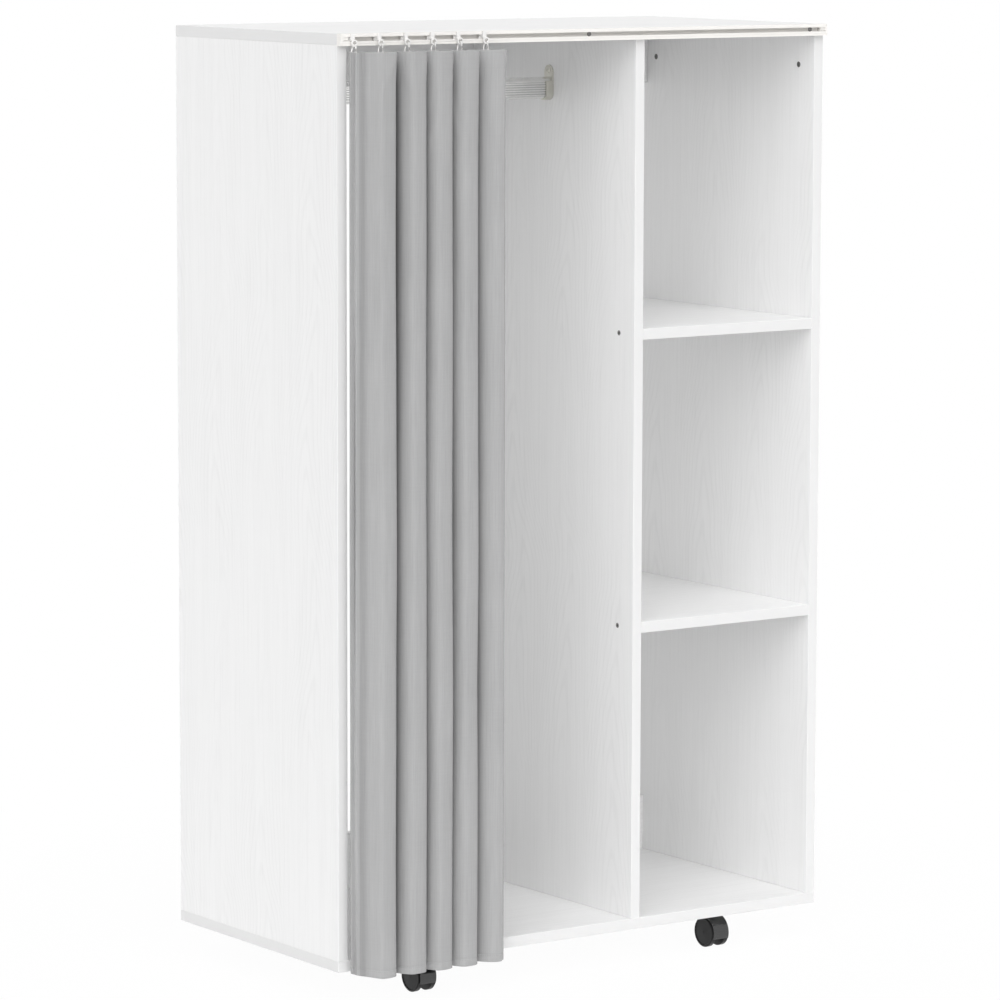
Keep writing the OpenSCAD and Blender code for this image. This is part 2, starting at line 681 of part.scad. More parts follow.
// Height of a point that a level puts at z: the hem rises at the left corner
function hem_z(x, z) = z + (z > 0 ? 0 : corner_lift)
    * pow(max(0, 1 - (x - curtain_left) / corner_run), 2);

// Index of a point: level l, side 0 in front or 1 behind, place i of n along the cloth
function at(n, l, side, i) = (2 * l + side) * n + i;

module curtain() color("darkgray") in_place() {
    levels = [-curtain_below, curtain_top - heading_h - pleat_growth,
              curtain_top - heading_h, curtain_top];
    lines = [for (z = levels) cloth_line(z)];
    n = len(lines[0]);
    points = [for (l = [0 : len(levels) - 1], side = [-1, 1], i = [0 : n - 1])
        let (p = lines[l][i] + side * across(lines[l], i) * curtain_t / 2)
        [p.x, p.y, hem_z(p.x, levels[l])]];
    top = len(levels) - 1;
    polyhedron(points, concat(
        [for (l = [0 : top - 1], i = [0 : n - 2]) each [
            [at(n, l, 0, i), at(n, l, 0, i + 1), at(n, l + 1, 0, i + 1)],
            [at(n, l, 0, i), at(n, l + 1, 0, i + 1), at(n, l + 1, 0, i)],
            [at(n, l, 1, i), at(n, l + 1, 1, i + 1), at(n, l, 1, i + 1)],
            [at(n, l, 1, i), at(n, l + 1, 1, i), at(n, l + 1, 1, i + 1)]]],
        [for (i = [0 : n - 2]) each [
            [at(n, 0, 0, i), at(n, 0, 1, i), at(n, 0, 1, i + 1)],
            [at(n, 0, 0, i), at(n, 0, 1, i + 1), at(n, 0, 0, i + 1)],
            [at(n, top, 0, i), at(n, top, 1, i + 1), at(n, top, 1, i)],
            [at(n, top, 0, i), at(n, top, 0, i + 1), at(n, top, 1, i + 1)]]],
        [for (l = [0 : top - 1]) each [
            [at(n, l, 0, 0), at(n, l + 1, 0, 0), at(n, l + 1, 1, 0)],
            [at(n, l, 0, 0), at(n, l + 1, 1, 0), at(n, l, 1, 0)],
            [at(n, l, 0, n - 1), at(n, l + 1, 1, n - 1), at(n, l + 1, 0, n - 1)],
            [at(n, l, 0, n - 1), at(n, l, 1, n - 1), at(n, l + 1, 1, n - 1)]]]));
}

// ---- Casters ----

// Local frame of a caster: the swivel axis is z, the floor is 0, the axle lies in front of it
module caster_place(right, back)
    translate([-cabinet_w / 2 + caster_x[right],
               front_y + (back ? cabinet_d - caster_edge : caster_edge), 0])
        rotate([0, 0, back ? 180 : 0]) children();

module across_x(half, d) rotate([0, 90, 0]) translate([0, 0, -half]) cylinder(d = d, h = 2 * half);

module caster_mount(right, back) color("dimgray") caster_place(right, back)
    difference() {
        union() {
            translate([0, 0, caster_h - caster_plate_t]) linear_extrude(caster_plate_t) {
                square([caster_plate_w, caster_plate_w - 2 * plate_corner], center = true);
                square([caster_plate_w - 2 * plate_corner, caster_plate_w], center = true);
                for (x = [-1, 1], y = [-1, 1])
                    translate([x, y] * (caster_plate_w / 2 - plate_corner)) circle(r = plate_corner);
            }
            translate([0, 0, caster_h - caster_plate_t - swivel_pin_len])
                cylinder(d = swivel_pin_d, h = swivel_pin_len + cut);
        }
        for (x = [-plate_hole, plate_hole], y = [-plate_hole, plate_hole])
            translate([x, y, caster_h - caster_plate_t - cut])
                cylinder(d = pan_screw_d + 2 * fit_gap, h = caster_plate_t + 2 * cut);
    }

module caster_hood(right, back) color("black") caster_place(right, back)
    difference() {
        union() {
            translate([0, -caster_trail, wheel_r]) {
                // Hood over both wheels
                rotate([0, 90, 0]) rotate([0, 0, 90 + hood_from])
                    rotate_extrude(angle = hood_to - hood_from)
                        polygon([
                            [hood_r - hood_wall, -hood_half], [hood_r - hood_arris, -hood_half],
                            [hood_r, hood_arris - hood_half], [hood_r, hood_half - hood_arris],
                            [hood_r - hood_arris, hood_half], [hood_r - hood_wall, hood_half]]);
                // Web between the wheels, open at the lower front
                intersection() {
                    across_x(wheel_gap / 2 - web_gap, 2 * hood_r - hood_wall);
                    translate([-wheel_gap, -hood_r, -web_bottom])
                        cube([2 * wheel_gap, hood_r + caster_trail, 2 * hood_r]);
                }
                across_x(wheel_gap / 2 - hub_gap, axle_d + 2 * swivel_wall);
            }
            translate([0, 0, hood_top - swivel_pin_len])
                cylinder(d = swivel_pin_d + 2 * swivel_wall, h = swivel_pin_len);
        }
        translate([0, 0, hood_top - swivel_pin_len])
            cylinder(d = swivel_pin_d + 2 * run_gap, h = swivel_pin_len + cut);
        translate([0, -caster_trail, wheel_r]) across_x(wheel_gap, axle_d + 2 * fit_gap);
    }

module caster_axle(right, back) color("silver") caster_place(right, back)
    translate([0, -caster_trail, wheel_r]) across_x(wheel_gap / 2 + wheel_w - axle_cover, axle_d);

// side is -1 for the wheel on the left of the swivel axis and 1 for the one on its right
module caster_wheel(right, back, side) color("black") caster_place(right, back)
    translate([0, -caster_trail, wheel_r])
        rotate([0, 90 * (back ? -side : side), 0]) translate([0, 0, wheel_gap / 2]) {
            bore = axle_d / 2 + run_gap;
            blind = wheel_w - wheel_cap;
            inside = tread_arris[0];
            outside = tread_arris[1];
            rotate_extrude() polygon([
                [0, blind], [bore, blind], [bore, 0], [wheel_r - inside, 0], [wheel_r, inside],
                [wheel_r, wheel_w - outside], [wheel_r - outside, wheel_w],
                [wheel_r - rim_land, wheel_w],
                [wheel_r - rim_land - rim_step, wheel_w - face_sink[0]], [0, wheel_w - face_sink[1]]]);
        }

module caster_screws() color("silver") in_place() for (s = caster_screw_spots) pan_screw(s);

top_panel();
bottom_panel();
left_side_panel();
right_side_panel();
divider_panel();
shelf(upper_shelf_z);  // upper_shelf
shelf(lower_shelf_z);  // lower_shelf
stretcher(board_t, divider_x, upper_mid, 1);  // upper_left_stretcher
stretcher(board_t, divider_x, lower_mid, 1);  // lower_left_stretcher
stretcher(cubby_x, right_x, upper_mid, -1);  // upper_right_stretcher
stretcher(cubby_x, right_x, lower_mid, -1);  // lower_right_stretcher
cam_locks();
cam_bolts();
dowels();
base_screws();
shelf_screws();
hanging_rod();
rod_bracket(board_t, -1);  // rod_bracket_left
rod_bracket(divider_x, 1);  // rod_bracket_right
bracket_screws();
curtain_track();
track_cap(0, 1);  // track_cap_left
track_cap(cabinet_w, -1);  // track_cap_right
track_screws_node();  // track_screws
glider(1);  // glider_1
glider(2);  // glider_2
glider(3);  // glider_3
glider(4);  // glider_4
glider(5);  // glider_5
glider(6);  // glider_6
hook(1);  // hook_1
hook(2);  // hook_2
hook(3);  // hook_3
hook(4);  // hook_4
hook(5);  // hook_5
hook(6);  // hook_6
curtain();
caster_screws();
caster_mount(0, false);  // front_left_mount
caster_hood(0, false);  // front_left_hood
caster_axle(0, false);  // front_left_axle
caster_wheel(0, false, -1);  // front_left_wheel_l
caster_wheel(0, false, 1);  // front_left_wheel_r
caster_mount(1, false);  // front_right_mount
caster_hood(1, false);  // front_right_hood
caster_axle(1, false);  // front_right_axle
caster_wheel(1, false, -1);  // front_right_wheel_l
caster_wheel(1, false, 1);  // front_right_wheel_r
caster_mount(0, true);  // back_left_mount
caster_hood(0, true);  // back_left_hood
caster_axle(0, true);  // back_left_axle
caster_wheel(0, true, -1);  // back_left_wheel_l
caster_wheel(0, true, 1);  // back_left_wheel_r
caster_mount(1, true);  // back_right_mount
caster_hood(1, true);  // back_right_hood
caster_axle(1, true);  // back_right_axle
caster_wheel(1, true, -1);  // back_right_wheel_l
caster_wheel(1, true, 1);  // back_right_wheel_r
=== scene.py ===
import json
import math

import bpy
import numpy as np
from mathutils import Matrix, Vector, noise


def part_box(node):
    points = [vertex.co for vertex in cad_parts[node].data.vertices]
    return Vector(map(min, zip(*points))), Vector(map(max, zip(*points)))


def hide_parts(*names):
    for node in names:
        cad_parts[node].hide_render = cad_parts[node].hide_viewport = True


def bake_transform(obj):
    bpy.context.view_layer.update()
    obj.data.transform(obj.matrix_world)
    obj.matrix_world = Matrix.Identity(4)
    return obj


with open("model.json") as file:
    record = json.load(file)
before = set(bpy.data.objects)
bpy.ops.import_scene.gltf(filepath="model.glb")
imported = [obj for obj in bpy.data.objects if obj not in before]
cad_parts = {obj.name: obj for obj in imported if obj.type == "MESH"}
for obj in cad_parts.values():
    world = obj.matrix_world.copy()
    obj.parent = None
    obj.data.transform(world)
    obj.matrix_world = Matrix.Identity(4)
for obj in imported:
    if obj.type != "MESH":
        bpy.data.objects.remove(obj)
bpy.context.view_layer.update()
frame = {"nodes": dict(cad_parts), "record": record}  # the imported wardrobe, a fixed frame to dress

print("frame loaded with", len(frame["nodes"]), "nodes")

# Places that everything else is measured from, in metres
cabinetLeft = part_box("left_side_panel")[0].x
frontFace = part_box("left_side_panel")[0].y
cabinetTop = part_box("top_panel")[1].z
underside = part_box("bottom_panel")[0].z

cameraSetup = {
    "place": (-3.88298, -5.54272, 1.49903),
    "heading": 34.915,  # degrees to the right of straight in
    "dip": 7.306,       # degrees below level
    "roll": 0.137,
    "lens": 177.923,    # millimetres
    "sensor": 36.0,
    "farClip": 100,     # metres
}


def makeCamera(setup):
    heading, dip, roll = (math.radians(setup[key]) for key in ("heading", "dip", "roll"))
    forward = Vector((math.sin(heading) * math.cos(dip), math.cos(heading) * math.cos(dip),
                      -math.sin(dip)))
    level = Vector((math.cos(heading), -math.sin(heading), 0))
    upward = level.cross(forward)
    right = level * math.cos(roll) + upward * math.sin(roll)
    up = upward * math.cos(roll) - level * math.sin(roll)
    data = bpy.data.cameras.new("photoCamera")
    data.lens = setup["lens"]
    data.sensor_width = setup["sensor"]
    data.clip_end = setup["farClip"]
    camera = bpy.data.objects.new("photoCamera", data)
    turn = Matrix((right, up, -forward)).transposed().to_4x4()
    camera.matrix_world = Matrix.Translation(setup["place"]) @ turn
    bpy.context.scene.collection.objects.link(camera)
    bpy.context.scene.camera = camera


makeCamera(cameraSetup)
print("camera placed")


# Small helpers for shader nodes
def startMaterial(name):
    material = bpy.data.materials.new(name)
    material.use_nodes = True
    return material, material.node_tree, material.node_tree.nodes["Principled BSDF"]


def addNode(tree, kind, inputs=None, **settings):
    node = tree.nodes.new("ShaderNode" + kind)
    for key, value in settings.items():
        setattr(node, key, value)
    for key, value in (inputs or {}).items():
        if isinstance(value, bpy.types.NodeSocket):
            tree.links.new(value, node.inputs[key])
        else:
            node.inputs[key].default_value = value
    return node


def calc(tree, operation, first, second=0.0):
    return addNode(tree, "Math", {0: first, 1: second}, operation=operation).outputs[0]


def remap(tree, value, lowIn, highIn, lowOut, highOut, smooth=False):
    kind = "SMOOTHSTEP" if smooth else "LINEAR"
    inputs = {"Value": value, "From Min": lowIn, "From Max": highIn,
              "To Min": lowOut, "To Max": highOut}
    return addNode(tree, "MapRange", inputs, interpolation_type=kind).outputs[0]


def mixColour(tree, factor, first, second, blend="MIX"):
    inputs = {0: factor, 6: first, 7: second}
    return addNode(tree, "Mix", inputs, data_type="RGBA", blend_type=blend).outputs[2]


def grey(level):
    return (level, level, level, 1.0)


def tint(red, green, blue):
    return (red, green, blue, 1.0)


mostNoise = (0.3, 0.7)  # where nearly all values of a noise lie


def noiseValue(tree, vector, scale, detail=2.0, roughness=0.5):
    inputs = {"Vector": vector, "Scale": scale, "Detail": detail, "Roughness": roughness}
    return addNode(tree, "TexNoise", inputs).outputs[0]


def stretched(tree, vector, scale):
    return addNode(tree, "Mapping", {"Vector": vector, "Scale": scale}).outputs[0]


def joinVector(tree, x, y, z):
    return addNode(tree, "CombineXYZ", {0: x, 1: y, 2: z}).outputs[0]


def shaded(tree, colour, level):
    # A colour times a grey level
    return mixColour(tree, 1.0, colour, joinVector(tree, level, level, level), "MULTIPLY")


def bump(tree, height, strength, distance):
    inputs = {"Height": height, "Strength": strength, "Distance": distance}
    return addNode(tree, "Bump", inputs).outputs[0]


def wire(tree, source, shader, name):
    tree.links.new(source, shader.inputs[name])


studio = {
    "front": 3.18,      # light from the side that the broad light is on
    "behind": 0.43,     # light from every other side
    "towards": (-0.42, -0.64, 0.60),
    "softFrom": 0.68,   # where the broad light begins, and where it is full
    "softTo": 1.00,
    "floorGrey": 0.92,
    "floorGlow": 0.97,  # share of pure white that the camera sees in the floor beside the object
    "floorNear": 0.50,  # metres from the object's middle to where that share begins to grow
    "floorFar": 1.30,   # and to where the floor is pure white
    "floorSize": 14.0,
}

studioSuns = {  # the way it shines, its spread in degrees and its strength
    "backSun": ((0, -1, 0), 12, 1.0),
    "rightSun": ((-1, 0, -0.1), 12, 0.8),
}


def whiteForViewer(tree):
    # 1 for rays that see the backdrop: straight, mirrored or through glass
    path = addNode(tree, "LightPath")
    seen = calc(tree, "MAXIMUM", path.outputs["Is Camera Ray"], path.outputs["Is Glossy Ray"])
    return calc(tree, "MAXIMUM", seen, path.outputs["Is Transmission Ray"])


def makeWorld(setup):
    world = bpy.data.worlds.new("studio")
    bpy.context.scene.world = world
    world.use_nodes = True
    tree = world.node_tree
    background = tree.nodes["Background"]
    direction = addNode(tree, "TexCoord").outputs["Generated"]
    towards = Vector(setup["towards"]).normalized()
    facing = addNode(tree, "VectorMath", {0: direction, 1: towards}, operation="DOT_PRODUCT")
    level = remap(tree, facing.outputs["Value"], setup["softFrom"], setup["softTo"],
                  setup["behind"], setup["front"], smooth=True)
    white = whiteForViewer(tree)
    strength = addNode(tree, "Mix", {0: white, 2: level, 3: 1.0}, data_type="FLOAT").outputs[0]
    background.inputs["Color"].default_value = grey(1.0)
    tree.links.new(strength, background.inputs["Strength"])


def makeFloor(setup):
    half = setup["floorSize"] / 2
    mesh = bpy.data.meshes.new("studioFloor")
    corners = [(-half, -half, 0), (half, -half, 0), (half, half, 0), (-half, half, 0)]
    mesh.from_pydata(corners, [], [(0, 1, 2, 3)])
    floor = bpy.data.objects.new("studioFloor", mesh)
    bpy.context.scene.collection.objects.link(floor)
    material, tree, shader = startMaterial("studioFloor")
    shader.inputs["Base Color"].default_value = grey(setup["floorGrey"])
    shader.inputs["Roughness"].default_value = 1.0
    shader.inputs["Specular IOR Level"].default_value = 0.0
    glow = addNode(tree, "Emission", {"Color": grey(1.0), "Strength": 1.0})
    place = addNode(tree, "TexCoord").outputs["Object"]
    away = addNode(tree, "VectorMath", {0: place}, operation="LENGTH").outputs["Value"]
    glowShare = remap(tree, away, setup["floorNear"], setup["floorFar"], setup["floorGlow"], 1.0,
                      smooth=True)
    share = calc(tree, "MULTIPLY", whiteForViewer(tree), glowShare)
    mixed = addNode(tree, "MixShader", {0: share, 1: shader.outputs[0], 2: glow.outputs[0]})
    tree.links.new(mixed.outputs[0], tree.nodes["Material Output"].inputs["Surface"])
    mesh.materials.append(material)


def makeSun(name, way, spread, power):
    data = bpy.data.lights.new(name, "SUN")
    data.angle = math.radians(spread)
    data.energy = power
    lamp = bpy.data.objects.new(name, data)
    lamp.rotation_mode = "QUATERNION"
    lamp.rotation_quaternion = Vector(way).to_track_quat("-Z", "Y")
    bpy.context.scene.collection.objects.link(lamp)


makeWorld(studio)
makeFloor(studio)
for sunName, sun in studioSuns.items():
    makeSun(sunName, *sun)
print("studio lit")


boardFinish = {
    "white": 0.885,
    "edgeWhite": 0.770,
    "figureDepth": 0.030,       # how much darker the cathedral lines are
    "poreDepth": 0.034,         # how much darker the fine streaks are
    "bandDepth": 0.017,         # and the broader bands
    "heartWidth": 0.115,        # metres from one cathedral to the next
    "heartSway": 0.10,          # metres that its middle strays
    "swayScale": 3.1,           # and how often in a metre
    "archPitch": 0.034,         # half of the metres from one arch to the next
    "archSpread": 0.010,        # metres out from the middle to where an arch is one pitch lower
    "archPower": 1.45,          # how it steepens beyond that
    "archWobble": 3.4,          # pitches that it strays
    "figureRange": (0.1, 1.0),  # the parts of the wave and of the noises that fade in
    "patchRange": (0.42, 0.62),
    "poreRange": (0.50, 0.72),
    "bandRange": (0.36, 0.66),
    "faintFigure": 0.15,        # share of the figure that is left in the plain patches
    "edgeRange": (0.5, 0.9),    # how far a surface faces outwards, from banding to printed face
    "roughness": 0.46,
    "roughRange": (0.3, 0.8),   # of the streaks' noise
    "roughSpread": (-0.05, 0.08),
    "gloss": 0.35,
    "reliefStrength": 0.35,
    "reliefDepth": 0.00012,     # metres
    "seedStep": 1.7,            # from one board's grain to the next
    "seedStart": 0.9,
    "seedShift": 0.31,          # metres that the cathedrals are shifted for each unit of the seed
}

boardNoises = {  # changes in a metre across and along the grain, shift of the seed, detail, roughness
    "wobble": (22.0, 5.0, 0.0, 3.0, 0.5),
    "patches": (9.0, 2.2, 4.0, 1.0, 0.5),
    "streaks": (560.0, 9.0, 9.0, 2.0, 0.6),
    "bands": (175.0, 3.0, 13.0, 2.0, 0.5),
}


def boardNoise(tree, kind, u, v, seed):
    acrossScale, alongScale, shift, detail, roughness = boardNoises[kind]
    across = calc(tree, "MULTIPLY", u, acrossScale)
    along = calc(tree, "MULTIPLY", v, alongScale)
    return noiseValue(tree, joinVector(tree, across, along, seed + shift), 1.0, detail, roughness)


def boardFigure(tree, u, v, seed, finish):
    # Nested arches along the grain, from 0 to 1 and fainter in patches
    sway = noiseValue(tree, joinVector(tree, seed, v, 0.0), finish["swayScale"], 2.0)
    sway = calc(tree, "MULTIPLY", sway, finish["heartSway"])
    shifted = calc(tree, "ADD", calc(tree, "ADD", u, finish["seedShift"] * seed), sway)
    heart = calc(tree, "PINGPONG", shifted, finish["heartWidth"] / 2)
    steep = calc(tree, "POWER", calc(tree, "DIVIDE", heart, finish["archSpread"]), finish["archPower"])
    wobble = calc(tree, "MULTIPLY", boardNoise(tree, "wobble", u, v, seed), finish["archWobble"])
    arches = calc(tree, "ADD", calc(tree, "DIVIDE", v, finish["archPitch"]), steep)
    arches = calc(tree, "ADD", arches, wobble)
    rings = calc(tree, "SINE", calc(tree, "MULTIPLY", arches, math.pi))
    figure = remap(tree, rings, *finish["figureRange"], 0.0, 1.0, smooth=True)
    patches = boardNoise(tree, "patches", u, v, seed)
    shown = remap(tree, patches, *finish["patchRange"], finish["faintFigure"], 1.0, smooth=True)
    return calc(tree, "MULTIPLY", figure, shown)


def makeBoardMaterial(name, along, across, seed, finish):
    # White melamine with a printed and pressed wood grain; plain banding on the narrow edges
    material, tree, shader = startMaterial(name)
    coordinates = addNode(tree, "TexCoord")
    parts = addNode(tree, "SeparateXYZ", {0: coordinates.outputs["Object"]})
    normals = addNode(tree, "SeparateXYZ", {0: coordinates.outputs["Normal"]})
    v = parts.outputs[along]
    u = parts.outputs[across]
    figure = boardFigure(tree, u, v, seed, finish)
    streaks = boardNoise(tree, "streaks", u, v, seed)
    pores = remap(tree, streaks, *finish["poreRange"], 0.0, 1.0, smooth=True)
    broad = boardNoise(tree, "bands", u, v, seed)
    bands = remap(tree, broad, *finish["bandRange"], 0.0, finish["bandDepth"], smooth=True)
    shade = calc(tree, "ADD", calc(tree, "MULTIPLY", figure, finish["figureDepth"]),
                 calc(tree, "MULTIPLY", pores, finish["poreDepth"]))
    shade = calc(tree, "ADD", shade, bands)
    faces = shaded(tree, grey(finish["white"]), calc(tree, "SUBTRACT", 1.0, shade))
    outwards = [axis for axis in "XYZ" if axis not in (along, across)][0]
    flat = calc(tree, "ABSOLUTE", normals.outputs[outwards])
    edge = remap(tree, flat, *finish["edgeRange"], 1.0, 0.0)
    wire(tree, mixColour(tree, edge, faces, grey(finish["edgeWhite"])), shader, "Base Color")
    least, most = (finish["roughness"] + change for change in finish["roughSpread"])
    wire(tree, remap(tree, streaks, *finish["roughRange"], least, most), shader, "Roughness")
    pressed = calc(tree, "ADD", pores, calc(tree, "MULTIPLY", figure, 0.5))
    relief = calc(tree, "MULTIPLY", calc(tree, "SUBTRACT", 1.0, edge), pressed)
    height = calc(tree, "SUBTRACT", 1.0, relief)
    wire(tree, bump(tree, height, finish["reliefStrength"], finish["reliefDepth"]), shader, "Normal")
    shader.inputs["Specular IOR Level"].default_value = finish["gloss"]
    return material


plasticFinishes = {  # base colour, roughness, gloss, bump depth in metres, speckle
    "trackWhite": (tint(0.860, 0.842, 0.815), 0.38, 0.50, 0.00003, 0.03),
    "gliderWhite": (tint(0.830, 0.822, 0.810), 0.42, 0.50, 0.00002, 0.02),
    "casterBlack": (tint(0.0130, 0.0130, 0.0136), 0.13, 0.85, 0.00002, 0.12),
    "wheelBlack": (tint(0.0070, 0.0070, 0.0074), 0.32, 0.28, 0.00003, 0.12),
}

plasticSurface = {
    "fine": 1400.0,   # changes in a metre of the moulded surface
    "broad": 38.0,    # and of its tone
    "strength": 0.3,
    "roughSpread": (-0.04, 0.05),
}


def makePlastic(name, colour, roughness, gloss, depth, speckle):
    material, tree, shader = startMaterial(name)
    place = addNode(tree, "TexCoord").outputs["Object"]
    fine = noiseValue(tree, place, plasticSurface["fine"], 3.0, 0.6)
    broad = noiseValue(tree, place, plasticSurface["broad"], 2.0)
    lighter = tuple(min(1.0, c * (1 + speckle)) for c in colour[:3]) + (1.0,)
    darker = tuple(c * (1 - speckle) for c in colour[:3]) + (1.0,)
    wire(tree, mixColour(tree, broad, darker, lighter), shader, "Base Color")
    least, most = (roughness + change for change in plasticSurface["roughSpread"])
    wire(tree, remap(tree, broad, *mostNoise, least, most), shader, "Roughness")
    wire(tree, bump(tree, fine, plasticSurface["strength"], depth), shader, "Normal")
    shader.inputs["Specular IOR Level"].default_value = gloss
    return material


metalFinishes = {  # base colour, roughness, brushing along this axis and its strength
    "camGrey": (tint(0.260, 0.256, 0.250), 0.48, "Z", 0.25),
    "boltSteel": (tint(0.62, 0.61, 0.60), 0.28, "X", 0.25),
    "screwDark": (tint(0.280, 0.276, 0.272), 0.42, "Z", 0.25),
    "rodMetal": (tint(0.92, 0.92, 0.91), 0.24, "X", 0.10),
    "bracketMetal": (tint(0.75, 0.740, 0.675), 0.32, "Y", 0.10),
    "plateSteel": (tint(0.16, 0.16, 0.165), 0.44, "Y", 0.25),
    "axleSteel": (tint(0.55, 0.55, 0.55), 0.25, "X", 0.25),
}

metalSurface = {
    "along": 60,      # changes in a metre along the brushing, and across it
    "across": 2600,
    "broad": 55.0,    # changes of its tone in a metre
    "darkTone": 0.90,
    "brushRange": (0.25, 0.75),
    "roughSpread": (-0.07, 0.09),
    "depth": 0.00003,
}


def makeMetal(name, colour, roughness, axis, strength):
    material, tree, shader = startMaterial(name)
    place = addNode(tree, "TexCoord").outputs["Object"]
    scale = [metalSurface["along" if way == axis else "across"] for way in "XYZ"]
    brushed = noiseValue(tree, stretched(tree, place, scale), 1.0, 3.0, 0.65)
    broad = noiseValue(tree, place, metalSurface["broad"], 3.0)
    darker = tuple(c * metalSurface["darkTone"] for c in colour[:3]) + (1.0,)
    wire(tree, mixColour(tree, broad, darker, colour), shader, "Base Color")
    least, most = (roughness + change for change in metalSurface["roughSpread"])
    wire(tree, remap(tree, brushed, *metalSurface["brushRange"], least, most), shader, "Roughness")
    wire(tree, bump(tree, brushed, strength, metalSurface["depth"]), shader, "Normal")
    shader.inputs["Metallic"].default_value = 1.0
    return material


rodRibs = {  # the ribs along the rod
    "count": 6,
    "pitch": 0.0032,
    "drop": 0.0020,      # their middle below the rod's middle
    # painted shade: the grooves' colour is multiplied by this
    "grooveShade": 0.66,
    "grooveRange": (0.17, 0.33),  # pitches from a rib's middle, from rib to full groove
    "fade": 0.1,         # pitches over which the outer grooves end
}


def makeRodMetal(name, finish, ribs):
    # Bright ribs with painted shade in the grooves between them
    material = makeMetal(name, *finish)
    tree = material.node_tree
    shader = tree.nodes["Principled BSDF"]
    bright = shader.inputs["Base Color"].links[0].from_socket
    middle = (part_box("hanging_rod")[0].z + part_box("hanging_rod")[1].z) / 2 - ribs["drop"]
    parts = addNode(tree, "SeparateXYZ", {0: addNode(tree, "TexCoord").outputs["Object"]})
    steps = calc(tree, "DIVIDE", calc(tree, "SUBTRACT", parts.outputs[2], middle), ribs["pitch"])
    fromRib = calc(tree, "PINGPONG", calc(tree, "ADD", steps, (ribs["count"] - 1) / 2), 0.5)
    groove = remap(tree, fromRib, *ribs["grooveRange"], 0.0, 1.0, smooth=True)
    reach = ribs["count"] / 2
    away = calc(tree, "ABSOLUTE", steps)
    band = remap(tree, away, reach - ribs["fade"], reach + ribs["fade"], 1.0, 0.0)
    # painted shade: the metal is darkened in the grooves between the ribs
    grooveShadeColour = mixColour(tree, 1.0, bright, grey(ribs["grooveShade"]), "MULTIPLY")
    grooved = mixColour(tree, calc(tree, "MULTIPLY", groove, band), bright, grooveShadeColour)
    wire(tree, grooved, shader, "Base Color")
    return material


dowelFinish = {
    "dark": tint(0.46, 0.31, 0.17),
    "light": tint(0.66, 0.49, 0.30),
    "fibreScale": (900, 900, 60),
    "strength": 0.4,
    "depth": 0.0001,
    "roughness": 0.75,
}


def makeDowelWood(name, finish):
    material, tree, shader = startMaterial(name)
    place = addNode(tree, "TexCoord").outputs["Object"]
    fibres = noiseValue(tree, stretched(tree, place, finish["fibreScale"]), 1.0, 3.0)
    wire(tree, mixColour(tree, fibres, finish["dark"], finish["light"]), shader, "Base Color")
    wire(tree, bump(tree, fibres, finish["strength"], finish["depth"]), shader, "Normal")
    shader.inputs["Roughness"].default_value = finish["roughness"]
    return material


slotMaterials = {
    "cam_metal": makeMetal("camGrey", *metalFinishes["camGrey"]),
    "bright_steel": makeMetal("boltSteel", *metalFinishes["boltSteel"]),
    "dark_screw": makeMetal("screwDark", *metalFinishes["screwDark"]),
    "dowel_wood": makeDowelWood("dowelWood", dowelFinish),
    "rod_metal": makeRodMetal("rodMetal", metalFinishes["rodMetal"], rodRibs),
    "bracket_metal": makeMetal("bracketMetal", *metalFinishes["bracketMetal"]),
    "track_plastic": makePlastic("trackWhite", *plasticFinishes["trackWhite"]),
    "glider_plastic": makePlastic("gliderWhite", *plasticFinishes["gliderWhite"]),
    "caster_plate": makeMetal("plateSteel", *metalFinishes["plateSteel"]),
    "caster_plastic": makePlastic("casterBlack", *plasticFinishes["casterBlack"]),
    "wheel_plastic": makePlastic("wheelBlack", *plasticFinishes["wheelBlack"]),
    "axle_steel": makeMetal("axleSteel", *metalFinishes["axleSteel"]),
}

boardGrain = {  # the way the grain runs, and the way across it
    "top_panel": ("X", "Y"),
    "bottom_panel": ("X", "Y"),
    "left_side_panel": ("Z", "Y"),
    "right_side_panel": ("Z", "Y"),
    "divider_panel": ("Z", "Y"),
    "upper_shelf": ("X", "Y"),
    "lower_shelf": ("X", "Y"),
    "upper_left_stretcher": ("X", "Z"),
    "lower_left_stretcher": ("X", "Z"),
    "upper_right_stretcher": ("X", "Z"),
    "lower_right_stretcher": ("X", "Z"),
}


def dressNodes():
    for row in frame["record"]["subparts"]:
        name = row["node"]
        node = frame["nodes"][name]
        if name in boardGrain:
            seed = boardFinish["seedStep"] * list(boardGrain).index(name) + boardFinish["seedStart"]
            material = makeBoardMaterial("board_" + name, *boardGrain[name], seed, boardFinish)
        else:
            # The brackets' screws are as bright as the brackets
            slot = "bracket_metal" if name == "bracket_screws" else row["material_slot"]
            material = slotMaterials.get(slot)
        if material:
            node.data.materials.clear()
            node.data.materials.append(material)


dressNodes()
print("boards and fittings finished")


